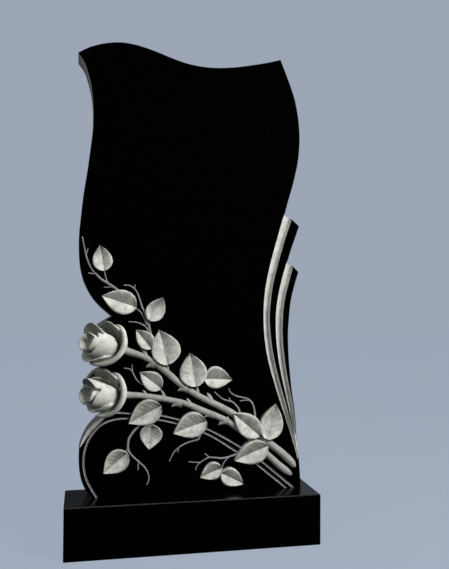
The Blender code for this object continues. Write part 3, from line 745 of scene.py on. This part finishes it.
def leaf(name, base, tip, left, right, layer, collection):
    """One leaf as a closed solid whose root lies below the polished face."""
    along = Vector(tip) - Vector(base)
    across = Vector((along.y, -along.x)).normalized()
    sides = [2 * k / LEAF_COLUMNS - 1 for k in range(LEAF_COLUMNS + 1)]
    rows = [[place(*base, leaf_height(0, 0, layer))]]
    for row in range(1, LEAF_ROWS):
        share = row / LEAF_ROWS
        share -= LEAF_CROWDING * math.sin(2 * math.pi * share) / (2 * math.pi)
        middle = Vector(base) + along * share
        width = max(LEAF_NARROWEST, leaf_width(share))
        line = []
        for side in sides:
            reach = side * width * (right if side > 0 else left)
            spot = middle + across * reach
            line.append(place(spot.x, spot.y, leaf_height(share, side, layer)))
        rows.append(line)
    rows.append([place(*tip, leaf_height(1, 0, layer))])
    vertices = [spot for line in rows for spot in line]
    columns = len(sides)
    last = len(vertices) - 1
    faces = []
    for column in range(columns - 1):
        faces.append((0, 1 + column, 2 + column))
        faces.append((last, last - columns + column, last - columns + column + 1))
        for row in range(LEAF_ROWS - 2):
            corner = 1 + row * columns + column
            faces.append((corner, corner + 1, corner + columns + 1))
            faces.append((corner, corner + columns + 1, corner + columns))
    rim = [0]
    rim += [1 + row * columns + columns - 1 for row in range(LEAF_ROWS - 1)]
    rim.append(last)
    rim += [1 + row * columns for row in reversed(range(LEAF_ROWS - 1))]
    first = len(vertices)
    for index in rim:
        spot = vertices[index]
        vertices.append(Vector((spot.x, FACE_Y + LEAF_ROOT, spot.z)))
    for k, index in enumerate(rim):
        after = (k + 1) % len(rim)
        faces.append((index, rim[after], first + after))
        faces.append((index, first + after, first + k))
    faces.append(tuple(range(first, first + len(rim))))
    return add_object(name, mesh_from(name, vertices, faces), collection)


def thorn(name, root, point, half, collection):
    """A thorn: a bent cone lying along the face from a stem to its point."""
    start = Vector(root)
    along = Vector(point) - start
    bend = Vector((along.y, -along.x)) * THORN_BEND
    points = []
    for k in range(THORN_SPANS + 1):
        share = k / THORN_SPANS
        spot = start + along * share + bend * math.sin(math.pi * share)
        wide = half * (1 - share) ** THORN_FULLNESS + THORN_POINT / MM * share
        points.append((spot.x, spot.y, wide))
    item = rod(name, points, THORN_RISE, THORN_ROUND, collection, THORN_STEPS, "brushed")
    for vertex in item.data.vertices:
        vertex.co.y = FACE_Y + (vertex.co.y - FACE_Y) * THORN_RELIEF
    return item


def rose_axes(rise):
    """The rose's axis towards its heart, with the directions to its front and over its top."""
    turn = math.radians(ROSE_TURN)
    rise = math.radians(rise)
    level = math.cos(rise)
    axis = Vector((-math.cos(turn) * level, -math.sin(turn) * level, math.sin(rise)))
    top = (Vector((0, 0, 1)) - axis * axis.z).normalized()
    front = top.cross(axis)
    return axis, front, top


def carve(middle, spot):
    """Takes a point of a rose, in mm from its middle, to its place in the flattened relief."""
    return place(*middle, ROSE_PROUD) + MM * Vector((spot.x, spot.y * ROSE_RELIEF, spot.z))


def section_point(section, share):
    """A point of a petal's section, with the direction across it."""
    run = smooth(section, SECTION_STEPS)
    spot = share * (len(run) - 1)
    low = min(int(spot), len(run) - 2)
    part = spot - low
    along, away = (run[low][k] + (run[low + 1][k] - run[low][k]) * part for k in range(2))
    step_along, step_away = (run[low + 1][k] - run[low][k] for k in range(2))
    size = math.hypot(step_along, step_away)
    return along, away, -step_away / size, step_along / size


def roll(name, spots, half, collection):
    """The rolled rim of a petal: a tube that is fullest in its middle and thins to both ends."""
    last = len(spots) - 1
    halves = [half * (1 - ROLL_THINNING * (2 * k / last - 1) ** 4) for k in range(last + 1)]
    return tube(name, spots, halves, ROLL_ROUND, collection)


def petal(name, middle, axes, collection, turn, spread, fall, section,
          thickness=PETAL_THICKNESS, narrow=PETAL_NARROW, sweep=0, rolled=0):
    """One petal as a closed shell, thinner at its rim and sides, with a rolled rim if asked."""
    axis, front, top = axes
    columns = PETAL_COLUMNS * (2 if spread > WIDE_PETAL else 1)
    outer = []
    inner = []
    for row in range(PETAL_ROWS + 1):
        share = row / PETAL_ROWS
        opened = math.sin(math.pi / 2 * min(1, PETAL_OPENING * share))
        spreading = narrow + (1 - narrow) * opened
        for column in range(columns + 1):
            side = 2 * column / columns - 1
            reach = share * (1 - fall * abs(side) ** PETAL_SQUARENESS)
            along, away, out_along, out_away = section_point(section, reach)
            angle = math.radians(turn + side * spread * spreading)
            wall = thickness * (1 - RIM_THINNING * share ** 3) * (1 - SIDE_THINNING * side ** 4)
            ray = front * math.cos(angle) + top * math.sin(angle)
            along += sweep * min(0.0, side) ** 2
            for spots, offset in ((outer, 0), (inner, wall)):
                ahead = axis * (along - offset * out_along)
                spots.append(carve(middle, ahead + ray * (away - offset * out_away)))
    ring = columns + 1
    size = len(outer)
    if rolled:
        rim = [(one + other) / 2 for one, other in zip(outer[-ring:], inner[-ring:])]
        roll(f"{name}_rim", rim, rolled, collection)
    faces = []
    for row in range(PETAL_ROWS):
        for column in range(columns):
            corner = row * ring + column
            across = corner + ring + 1
            for patch in ((corner, corner + 1, across), (corner, across, across - 1)):
                faces.append(patch)
                faces.append(tuple(size + index for index in reversed(patch)))
    edge = list(range(ring))
    edge += [row * ring + columns for row in range(1, PETAL_ROWS + 1)]
    edge += list(reversed(range(PETAL_ROWS * ring, PETAL_ROWS * ring + columns)))
    edge += [row * ring for row in reversed(range(1, PETAL_ROWS))]
    for first, second in zip(edge, edge[1:] + edge[:1]):
        faces.append((first, second, size + second))
        faces.append((first, size + second, size + first))
    return add_object(name, mesh_from(name, outer + inner, faces), collection)


def soften(name, parts, collection):
    """Melts a collection of overlapping shells into one rounded solid, and removes them."""
    whole = bmesh.new()
    for part in list(parts.objects):
        whole.from_mesh(part.data)
        bpy.data.objects.remove(part, do_unlink=True)
    mesh = bpy.data.meshes.new(name)
    whole.to_mesh(mesh)
    whole.free()
    maker = bpy.data.objects.new(name + "_maker", mesh)
    bpy.context.scene.collection.objects.link(maker)
    melt = maker.modifiers.new("melt", "REMESH")
    melt.mode = "VOXEL"
    melt.voxel_size = ROSE_GRAIN
    round_off = maker.modifiers.new("round_off", "SMOOTH")
    round_off.factor = ROSE_SOFTNESS
    round_off.iterations = ROSE_PASSES
    thin_out = maker.modifiers.new("thin_out", "DECIMATE")
    thin_out.ratio = ROSE_KEPT
    made = mesh_seen(maker)
    bpy.data.objects.remove(maker, do_unlink=True)
    bpy.data.collections.remove(parts)
    return add_object(name, made, collection, "rose")


def rose(name, middle, rise, petals, home):
    """One rose head: overlapping petals about a full core, melted together."""
    collection = bpy.data.collections.new(name)
    axes = rose_axes(rise)
    axis, front, top = axes
    work = bmesh.new()
    bmesh.ops.create_uvsphere(work, u_segments=CORE_COLUMNS, v_segments=CORE_ROWS, radius=1)
    for vertex in work.verts:
        ball = vertex.co.copy()
        spot = axis * (ball.z * CORE_ALONG + CORE_SHIFT)
        vertex.co = carve(middle, spot + (front * ball.x + top * ball.y) * CORE_ACROSS)
    bmesh.ops.recalc_face_normals(work, faces=work.faces)
    mesh = bpy.data.meshes.new(f"{name}_core")
    work.to_mesh(mesh)
    work.free()
    add_object(f"{name}_core", mesh, collection)
    for k, values in enumerate(petals, 1):
        petal(f"{name}_petal_{k}", middle, axes, collection, *values)
    return soften(name, collection, home)


def join_all(item, collection, operation):
    """Cuts a collection of solids from an object or joins them to it, and removes them."""
    for other in list(collection.objects):
        step = item.modifiers.new(operation.lower(), "BOOLEAN")
        step.operation = operation
        step.object = other
        step.solver = "MANIFOLD"
    mesh = mesh_seen(item)
    item.modifiers.clear()
    item.data = mesh
    for other in list(collection.objects):
        bpy.data.objects.remove(other, do_unlink=True)
    bpy.data.collections.remove(collection)


def finish_mesh(item):
    """Keeps the flat faces flat and the rest smooth, with sharp edges where forms meet."""
    mesh = item.data
    mesh.shade_smooth()
    mesh.set_sharp_from_angle(angle=math.radians(SHARP_ANGLE))
    for face in mesh.polygons:
        depth = face.center.y
        on_face = abs(depth - FACE_Y) < LEVEL or abs(depth - BACK_Y) < LEVEL
        if on_face and abs(face.normal.y) > FACING:
            face.use_smooth = False


def make_stele():
    """The stele: the slab, less its channels and scroll lines, with the carving that is proud."""
    home = bpy.context.scene.collection
    grooves = bpy.data.collections.new("grooves")
    carving = bpy.data.collections.new("carving")
    home.children.link(grooves)
    home.children.link(carving)
    stele = slab("carved_stele", home)
    for k, stations in enumerate(CHANNELS, 1):
        channel(f"channel_{k}", stations, grooves)
    # The scroll lines take the darker incised tone, which is painted shade in their grooves
    lines = (
        ("scroll_cove", OUTER_LINE[:COVE_POINTS], "carved"),
        ("scroll_line_1", OUTER_LINE[COVE_POINTS - 1:], "incised"),
        ("scroll_line_2", INNER_LINE, "incised"),
    )
    for name, points, finish in lines:
        rod(name, points, LINE_RISE, LINE_ROUND, grooves, LINE_STEPS, finish)
    for k, (base, tip, left, right, layer) in enumerate(LEAVES, 1):
        leaf(f"leaf_{k}", base, tip, left, right, layer, carving)
    for k, points in enumerate(STEMS, 1):
        rod(f"stem_{k}", points, STEM_RISE, STEM_ROUND, carving, CURVE_STEPS, "brushed")
    for k, (root, point, half) in enumerate(THORNS, 1):
        thorn(f"thorn_{k}", root, point, half, carving)
    for k, points in enumerate(TWIGS, 1):
        run = twig_run(points)
        rod(f"twig_{k}", run, -TWIG_SINK, TWIG_ROUND, carving, CURVE_STEPS, "incised")
    for k, (middle, rise, petals) in enumerate(ROSES, 1):
        rose(f"rose_{k}", middle, rise, petals, carving)
    join_all(stele, grooves, "DIFFERENCE")
    join_all(stele, carving, "UNION")
    finish_mesh(stele)
    return stele


def make_world():
    """A plain grey-blue studio, dark in front of the stone so that its polish stays black."""
    world = bpy.data.worlds.new("studio")
    bpy.context.scene.world = world
    recipe = Recipe(world, bare=True)
    path = recipe.make("ShaderNodeLightPath")
    seen, soft, mirrored = (recipe.make("ShaderNodeBackground") for layer in range(3))
    seen.inputs["Color"].default_value = BACKDROP
    soft.inputs["Color"].default_value = SOFT_LIGHT
    soft.inputs["Strength"].default_value = SOFT_STRENGTH
    split = recipe.make("ShaderNodeSeparateXYZ")
    recipe.link(recipe.where.outputs["Generated"], split.inputs["Vector"])
    height = split.outputs["Z"]
    for side, share in MIRROR_LEANS:
        lean = recipe.make("ShaderNodeMath", operation="MULTIPLY_ADD")
        lean.inputs[1].default_value = share
        recipe.link(split.outputs[side], lean.inputs[0])
        recipe.link(height, lean.inputs[2])
        height = lean.outputs["Value"]
    ramp = recipe.ramp(height, MIRROR_RANGE, MIRROR_DARK, MIRROR_PALE)
    recipe.link(ramp, mirrored.inputs["Color"])
    shown = soft.outputs["Background"]
    for ray, layer in (("Is Glossy Ray", mirrored), ("Is Camera Ray", seen)):
        mixer = recipe.make("ShaderNodeMixShader")
        recipe.link(path.outputs[ray], mixer.inputs["Fac"])
        recipe.link(shown, mixer.inputs[1])
        recipe.link(layer.outputs["Background"], mixer.inputs[2])
        shown = mixer.outputs["Shader"]
    out = recipe.make("ShaderNodeOutputWorld")
    recipe.link(shown, out.inputs["Surface"])


def add_light(name, spot, target, size, power, colour, gloss_only):
    """A soft square lamp aimed at a point, for all but the gloss or for the gloss alone."""
    lamp = bpy.data.lights.new(name, "AREA")
    lamp.shape = "SQUARE"
    lamp.size = size
    lamp.energy = power
    lamp.color = colour
    item = bpy.data.objects.new(name, lamp)
    bpy.context.scene.collection.objects.link(item)
    item.location = spot
    item.rotation_euler = (Vector(target) - Vector(spot)).to_track_quat("-Z", "Y").to_euler()
    item.visible_glossy = gloss_only
    item.visible_diffuse = not gloss_only
    item.visible_camera = False


def make_camera():
    """The camera at the photograph's viewing angle."""
    level = math.cos(CAMERA_PITCH)
    forward = Vector((math.sin(CAMERA_YAW) * level, math.cos(CAMERA_YAW) * level,
                      math.sin(CAMERA_PITCH)))
    side = Vector((math.cos(CAMERA_YAW), -math.sin(CAMERA_YAW), 0))
    up = side.cross(forward)
    right = side * math.cos(CAMERA_ROLL) + up * math.sin(CAMERA_ROLL)
    over = up * math.cos(CAMERA_ROLL) - side * math.sin(CAMERA_ROLL)
    lens = bpy.data.cameras.new("camera")
    lens.lens = CAMERA_LENS
    lens.sensor_width = CAMERA_SENSOR
    camera = bpy.data.objects.new("camera", lens)
    bpy.context.scene.collection.objects.link(camera)
    matrix = Matrix((right, over, -forward)).transposed().to_4x4()
    matrix.translation = CAMERA_SPOT
    camera.matrix_world = matrix
    bpy.context.scene.camera = camera


def make_floor():
    """A plain pale floor that runs out of view and neither lights nor shows in the stone."""
    work = bmesh.new()
    bmesh.ops.create_grid(work, x_segments=1, y_segments=1, size=FLOOR_SIZE)
    mesh = bpy.data.meshes.new("floor")
    work.to_mesh(mesh)
    work.free()
    material = bpy.data.materials.new("floor_paint")
    material.use_nodes = True
    shader = material.node_tree.nodes["Principled BSDF"]
    shader.inputs["Base Color"].default_value = FLOOR_PAINT
    shader.inputs["Roughness"].default_value = 1.0
    shader.inputs["Specular IOR Level"].default_value = 0.0
    shader.inputs["Emission Color"].default_value = FLOOR_GLOW
    shader.inputs["Emission Strength"].default_value = 1.0
    mesh.materials.append(material)
    floor = bpy.data.objects.new("floor", mesh)
    floor.visible_glossy = False
    floor.visible_diffuse = False
    bpy.context.scene.collection.objects.link(floor)
    return floor


bpy.context.scene.view_settings.view_transform = "Standard"
make_camera()
make_world()
for name, values in LAMPS.items():
    add_light(name, *values)
make_floor()

stele = make_stele()
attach(stele, "root")
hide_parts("stele")

plinth = frame["nodes"]["plinth"]
plinth.data.materials.clear()
plinth.data.materials.append(HONED)
